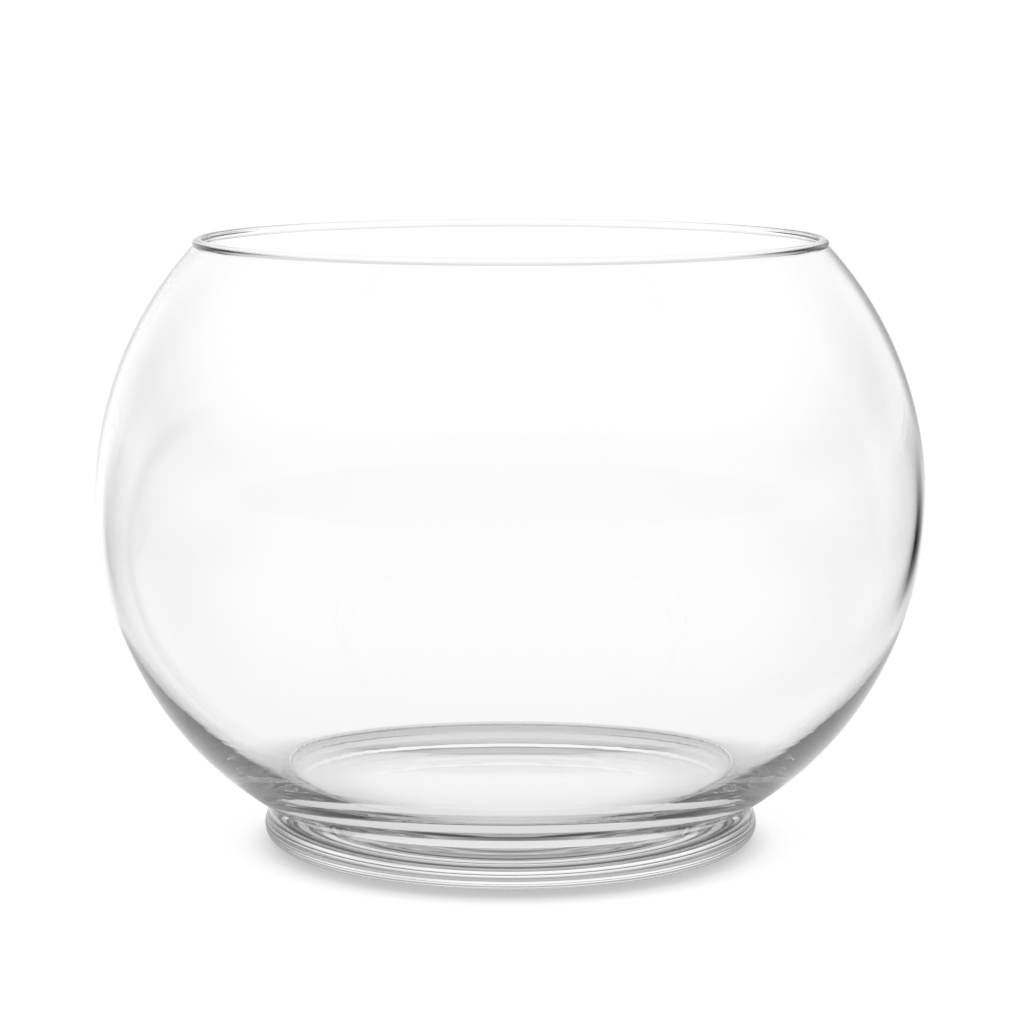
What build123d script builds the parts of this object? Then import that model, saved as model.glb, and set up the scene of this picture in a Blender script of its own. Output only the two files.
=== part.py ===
"""Footed rose bowl vase in clear glass: a blown bowl on a low round foot.

Two pieces of glass, joined hot in one shallow round face. Both are turned about Z.
Millimetres, +Z up, origin on the table under the middle of the foot.
"""
from build123d import *
from math import cos, radians, sin, sqrt
import os

# Bowl, outside
BOWL_DIAMETER = 254.0  # at the belly, the widest level
BELLY_HEIGHT = 106.3  # of the widest level above the table
BELLY_ARC = 113.4  # radius of the section from the lip to below the belly
TUCK_START = 31.6  # degrees below the widest level where the section starts to draw in
OVERALL_HEIGHT = 185.7  # to the top of the lip

# Bowl, inside
WALL = 2.5  # blown wall at the belly, from where it thins towards the lip
HEEL_START = 18.0  # degrees below the widest level where the wall starts to thicken
FLOOR_DIAMETER = 140.0  # of the dished floor, where the heel runs out on it
FLOOR_DISH = 5.0  # how much lower the floor is in the middle than at its edge
FLOOR_CORNER = 8.0  # round between heel and floor
FLOOR_THICKNESS = 3.7  # of the floor in the middle, over the foot

# Lip
LIP_WALL = 1.9  # level width to which the wall has thinned at the top
LIP_TOP = 2.0  # width of the level top, from the inner edge out
LIP_DEPTH = 2.2  # how far its rolled outer side reaches down the wall
LIP_EDGE = 0.4  # round of the inner edge

# Foot
FOOT_DIAMETER = 152.8
FOOT_HEIGHT = 10.8  # to the edge of the joint with the bowl
FOOT_LOWER_ROUND = 4.3  # round of the lower edge, up to the widest level of the foot
SEAT_INSET = 4.0  # from the widest level of the foot in to the edge of the joint
SEAT_DEPTH = 3.0  # how far the round bottom of the bowl sinks into the foot

# Places on the section that both pieces share, as radius and height
belly_centre = Vector(BOWL_DIAMETER / 2 - BELLY_ARC, BELLY_HEIGHT)
seat_radius = FOOT_DIAMETER / 2 - SEAT_INSET
seat_edge = Vector(seat_radius, FOOT_HEIGHT)
seat_bottom = Vector(0, FOOT_HEIGHT - SEAT_DEPTH)


def on_belly(radius, degrees_up):
    """Point on a circle about the centre of the belly arc, measured up from the widest level."""
    angle = radians(degrees_up)
    return belly_centre + Vector(cos(angle), sin(angle)) * radius


def down_belly(degrees_up):
    """Direction of the section there, running down from the lip to the foot."""
    angle = radians(degrees_up)
    return Vector(sin(angle), -cos(angle))


def on_wall(height):
    """Point of the outer face of the wall, by its height above the table."""
    rise = height - BELLY_HEIGHT
    return belly_centre + Vector(sqrt(BELLY_ARC**2 - rise**2), rise)


def make_bowl():
    """Blown bowl: thin wall with a rolled lip, thickening through the heel to a dished floor."""
    inner_arc = BELLY_ARC - WALL
    inner_belly = on_belly(inner_arc, 0)
    lip_inside = on_wall(OVERALL_HEIGHT) - Vector(LIP_WALL, 0)
    lip_outside = lip_inside + Vector(LIP_TOP, 0)
    # The rolled side of the lip ends on the outer face of the wall, where it leaves a crease.
    crease = on_wall(OVERALL_HEIGHT - LIP_DEPTH)

    # The heel leaves the inner face of the wall and ends on the edge of the dished floor.
    tuck = on_belly(BELLY_ARC, -TUCK_START)
    heel = on_belly(inner_arc, -HEEL_START)
    floor_middle = seat_bottom + Vector(0, FLOOR_THICKNESS)
    floor_edge = floor_middle + Vector(FLOOR_DIAMETER / 2, FLOOR_DISH)
    with BuildSketch(Plane.XZ) as section:
        with BuildLine():
            ThreePointArc(crease, on_belly(BELLY_ARC, 0), tuck)
            TangentArc(tuck, seat_edge, tangent=down_belly(-TUCK_START))
            TangentArc(seat_bottom, seat_edge, tangent=(1, 0))
            Line(seat_bottom, floor_middle)
            TangentArc(floor_middle, floor_edge, tangent=(1, 0))
            TangentArc(heel, floor_edge, tangent=down_belly(-HEEL_START))
            TangentArc(inner_belly, heel, tangent=(0, -1))
            TangentArc(inner_belly, lip_inside, tangent=(0, 1))
            Line(lip_inside, lip_outside)
            TangentArc(lip_outside, crease, tangent=(1, 0))
        make_face()
        fillet(section.vertices().sort_by_distance(floor_edge)[0], radius=FLOOR_CORNER)
        fillet(section.vertices().sort_by_distance(lip_inside)[0], radius=LIP_EDGE)
    return revolve(section.sketch, axis=Axis.Z)


def make_foot():
    """Foot: a solid disc shaped hot on the bottom of the bowl, with a rounded edge and ground flat below."""
    foot_radius = FOOT_DIAMETER / 2
    flat_middle = Vector(0, 0)
    flat_edge = Vector(foot_radius - FOOT_LOWER_ROUND, 0)
    widest = Vector(foot_radius, FOOT_LOWER_ROUND)
    with BuildSketch(Plane.XZ) as section:
        with BuildLine():
            Line(flat_middle, flat_edge)
            TangentArc(flat_edge, widest, tangent=(1, 0))
            TangentArc(widest, seat_edge, tangent=(0, 1))
            TangentArc(seat_bottom, seat_edge, tangent=(1, 0))
            Line(seat_bottom, flat_middle)
        make_face()
    return revolve(section.sketch, axis=Axis.Z)


os.makedirs("parts", exist_ok=True)
for name, solid in (("bowl", make_bowl()), ("foot", make_foot())):
    export_step(solid, f"parts/{name}.step")
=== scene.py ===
from math import atan2, cos, hypot, pi, radians, sin, sqrt

import bpy
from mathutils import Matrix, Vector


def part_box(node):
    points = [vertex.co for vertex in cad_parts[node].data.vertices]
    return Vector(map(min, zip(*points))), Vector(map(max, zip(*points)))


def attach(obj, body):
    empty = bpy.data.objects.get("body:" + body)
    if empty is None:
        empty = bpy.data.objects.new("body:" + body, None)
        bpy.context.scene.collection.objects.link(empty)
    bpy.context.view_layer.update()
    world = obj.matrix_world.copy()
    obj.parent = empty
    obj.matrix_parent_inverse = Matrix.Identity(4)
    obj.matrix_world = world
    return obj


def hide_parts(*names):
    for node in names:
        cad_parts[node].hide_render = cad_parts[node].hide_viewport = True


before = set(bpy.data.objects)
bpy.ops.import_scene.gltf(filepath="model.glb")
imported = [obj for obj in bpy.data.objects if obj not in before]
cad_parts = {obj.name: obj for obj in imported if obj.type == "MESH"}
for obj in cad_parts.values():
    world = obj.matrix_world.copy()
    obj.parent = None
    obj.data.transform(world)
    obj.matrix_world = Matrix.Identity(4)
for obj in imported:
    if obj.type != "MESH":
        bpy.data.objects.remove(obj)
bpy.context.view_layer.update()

# Bowl: one bubble of clear soda-lime glass, blown and spun into a round belly. The wall is thin and
# thickens through the heel to a dished floor. The mouth was cracked off and its edge rolled in the flame.
bowl_low, bowl_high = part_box("bowl")
belly_radius = (bowl_high[0] - bowl_low[0]) / 2
overall_height = bowl_high[2]
belly_arc = 0.1134  # radius of the belly's section
belly_centre = (belly_radius - belly_arc, 0.1063)
tuck_start = radians(31.6)  # below the widest level, where the outside starts to draw in
wall = 0.0025
heel_start = radians(18.0)  # below the widest level, where the wall starts to thicken
floor_radius = 0.070
floor_dish = 0.005  # how much lower the floor is in the middle than at its edge
floor_corner = 0.008  # round between heel and floor
floor_thickness = 0.0037  # in the middle, over the foot
lip_wall = 0.0019  # level width to which the wall has thinned at the top
lip_top = 0.0026  # width of the level top
lip_depth = 0.0022  # how far the rolled outer side reaches down the wall
lip_edge = 0.0008  # round of the inner edge
seat_edge = (0.0724, 0.0108)  # outer edge of the joint with the foot
seat_bottom = (0.0, 0.0078)  # the joint is a shallow round face
seat_level = 0.9  # least upright share of the normals of the joint's faces
turns = 256  # steps round the axis
merge_reach = 1e-5  # between points that the turning laid on each other
crease_angle = radians(30)


def start_section(name, point):
    """A new piece that holds one point of its section, at (radius, height), selected in edit mode."""
    bpy.ops.object.select_all(action="DESELECT")
    bpy.ops.mesh.primitive_plane_add(size=0.001)
    piece = bpy.context.object
    piece.name = piece.data.name = name
    bpy.ops.object.mode_set(mode="EDIT")
    bpy.ops.mesh.select_all(action="SELECT")
    bpy.ops.mesh.merge(type="CENTER")
    bpy.ops.transform.translate(value=(point[0], 0, point[1]))
    return piece


def draw_line(start, end):
    """Extrudes the end of the section in a straight line."""
    step = (end[0] - start[0], 0, end[1] - start[1])
    bpy.ops.mesh.extrude_region_move(TRANSFORM_OT_translate={"value": step})
    return end


def draw_arc(start, centre, end, steps):
    """Spins the end of the section about a centre, the short way round to another point."""
    first = atan2(start[1] - centre[1], start[0] - centre[0])
    last = atan2(end[1] - centre[1], end[0] - centre[0])
    sweep = (last - first + pi) % (2 * pi) - pi
    bpy.ops.mesh.spin(steps=steps, angle=sweep, center=(centre[0], 0, centre[1]), axis=(0, 1, 0))
    return end


def turn_section(piece):
    """Turns the drawn section about the axis and closes the poles, with the faces outwards."""
    bpy.ops.mesh.select_all(action="SELECT")
    bpy.ops.mesh.spin(steps=turns, angle=2 * pi, center=(0, 0, 0), axis=(0, 0, 1))
    bpy.ops.mesh.select_all(action="SELECT")
    bpy.ops.mesh.remove_doubles(threshold=merge_reach)
    bpy.ops.mesh.normals_make_consistent(inside=False)
    bpy.ops.object.mode_set(mode="OBJECT")
    bpy.ops.object.shade_smooth_by_angle(angle=crease_angle)


def polar(centre, radius, angle):
    """Point of a circle, by its angle above the level."""
    return (centre[0] + radius * cos(angle), centre[1] + radius * sin(angle))


def axis_arc_centre(middle, edge):
    """Centre, on the axis, of the shallow arc that starts level at the axis and ends at an edge."""
    rise = edge[1] - middle[1]
    return (0.0, middle[1] + (edge[0] ** 2 + rise**2) / (2 * rise))


def crossing(a, a_radius, b, b_radius):
    """The point, of the two where the circles cross, that lies further from the axis."""
    gap = hypot(b[0] - a[0], b[1] - a[1])
    along = (a_radius**2 - b_radius**2 + gap**2) / (2 * gap)
    off = sqrt(a_radius**2 - along**2)
    ex, ez = (b[0] - a[0]) / gap, (b[1] - a[1]) / gap
    points = [(a[0] + ex * along - s * ez * off, a[1] + ez * along + s * ex * off) for s in (1, -1)]
    return max(points)


def towards(start, through, reach):
    """Point at a distance from start, on the line through another point."""
    run, rise = through[0] - start[0], through[1] - start[1]
    share = reach / hypot(run, rise)
    return (start[0] + run * share, start[1] + rise * share)


def smooth_arc(start, below, end):
    """Centre and radius of the arc to an end, that leaves the belly smoothly at an angle below its widest."""
    chord = (end[0] - start[0], end[1] - start[1])
    inward = (-cos(below), sin(below))
    radius = hypot(*chord) ** 2 / (2 * (chord[0] * inward[0] + chord[1] * inward[1]))
    return (start[0] + inward[0] * radius, start[1] + inward[1] * radius), radius


def on_wall(height):
    """Point of the outer face of the wall, by its height."""
    rise = height - belly_centre[1]
    return (belly_centre[0] + sqrt(belly_arc**2 - rise**2), height)


# The inner face of the wall, up to the round inner edge of the lip.
inner_arc = belly_arc - wall
inner_belly = (belly_radius - wall, belly_centre[1])
mouth = (on_wall(overall_height)[0] - lip_wall, overall_height)
mouth_run, mouth_rise = inner_belly[0] - mouth[0], mouth[1] - inner_belly[1]
mouth_arc = (mouth_run**2 + mouth_rise**2) / (2 * mouth_run)
mouth_centre = (inner_belly[0] - mouth_arc, inner_belly[1])
edge_height = overall_height - lip_edge
edge_reach = sqrt((mouth_arc + lip_edge) ** 2 - (edge_height - mouth_centre[1]) ** 2)
edge_centre = (mouth_centre[0] + edge_reach, edge_height)
edge_start = towards(mouth_centre, edge_centre, mouth_arc)
# The rolled outer side of the lip, which ends in a crease on the wall.
lip_outside = (mouth[0] + lip_top, overall_height)
crease = on_wall(overall_height - lip_depth)
lip_roll = ((crease[0] - lip_outside[0]) ** 2 + lip_depth**2) / (2 * lip_depth)
# The heel and the dished floor inside, with the round between them.
heel = polar(belly_centre, inner_arc, -heel_start)
floor_middle = (0.0, seat_bottom[1] + floor_thickness)
floor_edge = (floor_radius, floor_middle[1] + floor_dish)
heel_centre, heel_arc = smooth_arc(heel, heel_start, floor_edge)
dish_centre = axis_arc_centre(floor_middle, floor_edge)
dish_arc = dish_centre[1] - floor_middle[1]
corner_centre = crossing(heel_centre, heel_arc - floor_corner, dish_centre, dish_arc - floor_corner)
dish_end = towards(dish_centre, corner_centre, dish_arc)
heel_end = towards(heel_centre, corner_centre, heel_arc)
# The outside below the belly, and the joint.
tuck = polar(belly_centre, belly_arc, -tuck_start)
tuck_centre = smooth_arc(tuck, tuck_start, seat_edge)[0]
seat_centre = axis_arc_centre(seat_bottom, seat_edge)

bowl = start_section("blown_bowl", floor_middle)
at = draw_arc(floor_middle, dish_centre, dish_end, steps=24)
at = draw_arc(at, corner_centre, heel_end, steps=10)
at = draw_arc(at, heel_centre, heel, steps=48)
at = draw_arc(at, belly_centre, inner_belly, steps=24)
at = draw_arc(at, mouth_centre, edge_start, steps=72)
at = draw_arc(at, edge_centre, (edge_centre[0], overall_height), steps=10)
at = draw_line(at, lip_outside)
at = draw_arc(at, (lip_outside[0], overall_height - lip_roll), crease, steps=18)
at = draw_arc(at, belly_centre, tuck, steps=96)
at = draw_arc(at, tuck_centre, seat_edge, steps=48)
draw_arc(at, seat_centre, seat_bottom, steps=24)
turn_section(bowl)


def add_node(tree, kind, sockets=None, operation=None):
    """A new node. Its sockets, by name or number, get a value or are linked to an output."""
    node = tree.nodes.new(kind)
    if operation:
        node.operation = operation
    for key, value in (sockets or {}).items():
        if isinstance(value, bpy.types.NodeSocket):
            tree.links.new(value, node.inputs[key])
        else:
            node.inputs[key].default_value = value
    return node


# Faint waves run round the glass, left by the turning, and show most at the heel.
wave_scale = 300.0  # of the noise, over a metre of height
wave_height = 0.00001
wave_heel, wave_belly = 0.03, 0.07  # heights between which the waves fade
wave_most, wave_least = 1.0, 0.1
clear_glass = bpy.data.materials.new("clear_glass")
clear_glass.use_nodes = True
tree = clear_glass.node_tree
height = add_node(tree, "ShaderNodeSeparateXYZ", {0: add_node(tree, "ShaderNodeTexCoord").outputs["Object"]})
waves = tree.nodes.new("ShaderNodeTexNoise")
waves.noise_dimensions = "1D"
waves.inputs["Scale"].default_value = wave_scale
tree.links.new(height.outputs["Z"], waves.inputs["W"])
fade = {0: height.outputs["Z"], 1: wave_heel, 2: wave_belly, 3: wave_most, 4: wave_least}
wave_depth = add_node(tree, "ShaderNodeMapRange", fade).outputs[0]
ripple = {"Strength": wave_depth, "Distance": wave_height, "Height": waves.outputs[0]}
glass_shader = tree.nodes["Principled BSDF"]
glass_shader.inputs["Base Color"].default_value = (1.0, 1.0, 1.0, 1)
glass_shader.inputs["Roughness"].default_value = 0.0
glass_shader.inputs["IOR"].default_value = 1.5
glass_shader.inputs["Transmission Weight"].default_value = 1.0
tree.links.new(add_node(tree, "ShaderNodeBump", ripple).outputs[0], glass_shader.inputs["Normal"])

# The pieces were joined hot, so light passes from one into the other as if no face were there.
melted_joint = bpy.data.materials.new("melted_joint")
melted_joint.use_nodes = True
tree = melted_joint.node_tree
tree.nodes.clear()
joint_shader = add_node(tree, "ShaderNodeBsdfTransparent")
add_node(tree, "ShaderNodeOutputMaterial", {"Surface": joint_shader.outputs[0]})

bowl.data.materials.append(clear_glass)
bowl.data.materials.append(melted_joint)
for face in bowl.data.polygons:
    if face.normal.z < -seat_level and face.center.z < seat_edge[1]:
        face.material_index = 1
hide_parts("bowl")
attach(bowl, "root")

# Foot: a gather of the same glass, pressed hot on the bottom of the bowl to a low disc with a rounded
# edge. It is ground and polished flat underneath, where it stands.
foot_low, foot_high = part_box("foot")
foot_radius = (foot_high[0] - foot_low[0]) / 2
lower_round = 0.0043  # up to the widest level of the foot
flat_middle = (0.0, 0.0)
flat_edge = (foot_radius - lower_round, 0.0)
widest = (foot_radius, lower_round)
upper_rise = seat_edge[1] - widest[1]
upper_run = foot_radius - seat_edge[0]
upper_arc = (upper_rise**2 + upper_run**2) / (2 * upper_run)

foot = start_section("pressed_foot", flat_middle)
at = draw_line(flat_middle, flat_edge)
at = draw_arc(at, (flat_edge[0], lower_round), widest, steps=24)
at = draw_arc(at, (foot_radius - upper_arc, lower_round), seat_edge, steps=24)
draw_arc(at, seat_centre, seat_bottom, steps=24)
turn_section(foot)
foot.data.materials.append(clear_glass)
foot.data.materials.append(melted_joint)
for face in foot.data.polygons:
    if face.normal.z > seat_level and hypot(face.center.x, face.center.y) < seat_edge[0]:
        face.material_index = 1
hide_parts("foot")
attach(foot, "root")

# Floor: a wide sheet of white paper on a table, that fills the view. The foot's shadow is painted into the
# paper's glow by an occlusion test leant towards the back, so that it falls to the front. What the glass
# shows of the paper is painted shade: dimmer to the front and the sides, darker in a ring round the foot and
# under its edge, and dark behind to the right.
paper_radius = 12.0
paper_drop = 0.0002  # clear of the flat of the foot
paper_white = 0.97  # level of the paper near the vase
paper_share = 0.05  # of its level that comes from the light that falls on it
# Painted shadow of the foot in the paper's glow, from an occlusion test over a short reach, leant towards the
# back.
shadow_reach = 0.014
shadow_open = (0.3, 1.0)  # openness to the light, from deep shadow to none
shadow_level = 0.53
painted_shadow_lean = (0.0, 0.9, 0.43)
white = 1.07  # level of paper and backdrop behind the glass, which takes some of it away
# Painted shade of the paper, seen only in the glass: darker to the front and the sides, in a ring round the
# foot and under its edge.
front_level = 0.3  # of the dark side of the studio, where the camera stands; on the paper it is painted shade
front_turn = (-0.3, 0.1)  # from front to back, by the share of a direction that runs back
left_level, left_turn = 0.52, (-0.71, -0.54)  # by the share that runs to the right
right_level, right_turn = 0.50, (0.42, 0.62)
near_reach = (0.10, 0.6)  # distance over which these levels set in
ring_level, ring_reach = 0.5, (0.080, 0.105)  # painted shade in a ring round the foot, seen through the glass
edge_level, edge_band = 0.8, (0.068, 0.076)  # painted shade under the edge of the foot
under_reach = (0.04, 0.062)  # under the foot, where the paper is light
card_shade_level = 0.5  # darkness, seen only in the glass, where a dark card would stand behind to the right: painted shade on the paper and less light from the room
card_left, card_right = (0.12, 0.28), (0.36, 0.54)  # its soft edges, by their slant to the right
card_stand = 0.21  # how far to the right of the vase its slant is measured from
card_floor = (0.1, 0.3)  # distance behind the vase over which it sets in
deep_turns = (7.0, 11.0)  # turns of a ray inside the glass over which the paper and room it sees are dimmed, a painted darkening that stands for light lost in the glass
deep_floor = 0.1  # share left on the floor
bpy.ops.object.select_all(action="DESELECT")
paper_place = (0, 0, -paper_drop)
bpy.ops.mesh.primitive_circle_add(vertices=96, radius=paper_radius, fill_type="NGON", location=paper_place)
paper = bpy.context.object
paper.name = "paper_floor"
bpy.ops.object.transform_apply(location=True)
white_paper = bpy.data.materials.new("white_paper")
white_paper.use_nodes = True


def calc(tree, operation, a, b=0.0, c=0.0):
    """One step of arithmetic."""
    return add_node(tree, "ShaderNodeMath", {0: a, 1: b, 2: c}, operation).outputs[0]


def ease(tree, value, span, before, after):
    """A smooth change of level while a value goes over a span."""
    node = add_node(tree, "ShaderNodeMapRange", {0: value, 1: span[0], 2: span[1], 3: before, 4: after})
    node.interpolation_type = "SMOOTHSTEP"
    return node.outputs[0]


def card_shade_from(tree, across, along):
    """Darkness where a dark card would stand, by direction from a place beside the vase: painted shade on the
    paper, less light in the room.
    """
    least_along = 0.05
    slant = calc(tree, "DIVIDE", across, calc(tree, "MAXIMUM", along, least_along))
    card_shade = ease(tree, slant, card_left, 0.0, card_shade_level)
    return ease(tree, slant, card_right, card_shade, 0.0)


def through_depth(tree, ray, least):
    """What is left of the paper's glow or the room's light for a ray that turned many times inside the glass:
    a painted darkening of thick glass.
    """
    return ease(tree, ray.outputs["Ray Depth"], deep_turns, 1.0, least)


tree = white_paper.node_tree
tree.nodes.clear()
place = add_node(tree, "ShaderNodeTexCoord").outputs["Object"]
split = add_node(tree, "ShaderNodeSeparateXYZ", {0: place})
reach = add_node(tree, "ShaderNodeVectorMath", {0: place}, "LENGTH").outputs["Value"]
across = calc(tree, "DIVIDE", split.outputs["X"], reach)
along = calc(tree, "DIVIDE", split.outputs["Y"], reach)
# The paper as only the glass sees it, with its painted shade.
paper_seen = ease(tree, along, front_turn, front_level, white)
paper_seen = ease(tree, across, left_turn, left_level, paper_seen)
paper_seen = ease(tree, across, right_turn, paper_seen, right_level)
paper_seen = ease(tree, reach, near_reach, paper_white, paper_seen)
paper_seen = ease(tree, reach, ring_reach, ring_level, paper_seen)
paper_seen = ease(tree, reach, edge_band, edge_level, paper_seen)
paper_seen = ease(tree, reach, under_reach, paper_white, paper_seen)
# Painted shade on the paper behind to the right, where a dark card would stand.
card_shade = card_shade_from(tree, calc(tree, "SUBTRACT", split.outputs["X"], card_stand), split.outputs["Y"])
card_shade = ease(tree, split.outputs["Y"], card_floor, 0.0, card_shade)
paper_seen = calc(tree, "SUBTRACT", paper_seen, calc(tree, "ADD", card_shade, paper_share))
ray = add_node(tree, "ShaderNodeLightPath")
through_glass = calc(tree, "MAXIMUM", ray.outputs["Is Glossy Ray"], ray.outputs["Is Transmission Ray"])
# Painted shadow: an occlusion test leant towards the back darkens the paper's glow near the foot, as the
# camera sees it.
painted_shadow_normal = add_node(tree, "ShaderNodeCombineXYZ", dict(enumerate(painted_shadow_lean))).outputs[0]
shadow = add_node(tree, "ShaderNodeAmbientOcclusion", {"Distance": shadow_reach, "Normal": painted_shadow_normal})
shadow.samples = 16
shade = ease(tree, shadow.outputs["AO"], shadow_open, shadow_level, 1.0)
straight = calc(tree, "MULTIPLY", calc(tree, "MULTIPLY", ray.outputs["Is Camera Ray"], shade), paper_white)
# Painted darkening of the paper's glow for rays that turned many times inside the glass.
deep = through_depth(tree, ray, deep_floor)
glow = calc(tree, "MULTIPLY_ADD", through_glass, calc(tree, "MULTIPLY", paper_seen, deep), straight)
paper_colour = (paper_share, paper_share, paper_share, 1)
paper_shade = add_node(tree, "ShaderNodeBsdfDiffuse", {"Color": paper_colour}).outputs[0]
paper_glow = add_node(tree, "ShaderNodeEmission", {"Strength": glow}).outputs[0]
paper_sum = add_node(tree, "ShaderNodeAddShader", {0: paper_shade, 1: paper_glow}).outputs[0]
add_node(tree, "ShaderNodeOutputMaterial", {"Surface": paper_sum})
paper.data.materials.append(white_paper)

# Studio: a white room that lights from all round. What the glass shows of it is dimmer at the sides and
# in front, which draws the edges of the glass.
side_low, side_high, side_rise = 0.5, 0.03, (0.0, 0.2)  # level of the sides, from the horizon up
side_turn = (0.45, 0.85)  # from the back to the sides
front_high, front_rise = 0.15, (0.0, 0.4)  # level of the front, from the horizon up
top_level, top_rise = 0.8, (0.0, 0.65)
card_back = (0.0, 0.2)  # the card's darkness is seen only behind the vase
card_top = (0.05, 0.2)  # soft upper edge of the card's darkness
deep_low, deep_high, deep_rise = 0.04, 0.7, (0.3, 0.8)  # share left of deep light, from the sides to the top
room = bpy.data.worlds.new("studio")
bpy.context.scene.world = room
room.use_nodes = True
tree = room.node_tree
tree.nodes.clear()
look = add_node(tree, "ShaderNodeSeparateXYZ", {0: add_node(tree, "ShaderNodeTexCoord").outputs["Generated"]})
aside = calc(tree, "ABSOLUTE", look.outputs["X"])
side_level = ease(tree, look.outputs["Z"], side_rise, side_low, side_high)
room_level = ease(tree, aside, side_turn, white, side_level)
room_front = ease(tree, look.outputs["Z"], front_rise, front_level, front_high)
room_level = ease(tree, look.outputs["Y"], front_turn, room_front, room_level)
# Less of the room's light behind to the right, where a dark card would stand.
card_shade = card_shade_from(tree, look.outputs["X"], look.outputs["Y"])
card_shade = ease(tree, look.outputs["Y"], card_back, 0.0, card_shade)
card_shade = ease(tree, look.outputs["Z"], card_top, card_shade, 0.0)
room_level = calc(tree, "SUBTRACT", room_level, card_shade)
room_seen = ease(tree, look.outputs["Z"], top_rise, room_level, top_level)
ray = add_node(tree, "ShaderNodeLightPath")
# The room's light is also dimmed for such rays, which darkens the thick glass.
deep = through_depth(tree, ray, ease(tree, look.outputs["Z"], deep_rise, deep_low, deep_high))
room_seen = calc(tree, "MULTIPLY", room_seen, deep)
plain = calc(tree, "MAXIMUM", ray.outputs["Is Camera Ray"], ray.outputs["Is Diffuse Ray"])
room_strength = calc(tree, "MAXIMUM", room_seen, plain)
room_light = add_node(tree, "ShaderNodeBackground", {"Color": (1, 1, 1, 1), "Strength": room_strength})
add_node(tree, "ShaderNodeOutputWorld", {"Surface": room_light.outputs[0]})
# Light runs far inside thick glass before it comes out, so it is followed for more turns than usual.
light_paths = bpy.context.scene.cycles
light_paths.max_bounces = light_paths.glossy_bounces = light_paths.transmission_bounces = 64
light_paths.transparent_max_bounces = 300

# Camera: on a stand a metre off and a little above the mouth, with a long lens. It looks down at the
# belly, and its lens is given by its length in pixels of the picture.
camera_place = (0.00043, -1.030, 0.24944)
camera_tilt = radians(8.207)
lens_pixels = 3375.9
picture_width = 1024
camera_data = bpy.data.cameras.new("camera")
camera = bpy.data.objects.new("camera", camera_data)
bpy.context.scene.collection.objects.link(camera)
camera.location = camera_place
camera.rotation_euler = (pi / 2 - camera_tilt, 0, 0)
camera_data.sensor_width = 36
camera_data.lens = lens_pixels / picture_width * camera_data.sensor_width
bpy.context.scene.camera = camera
bpy.context.scene.view_settings.view_transform = "Standard"
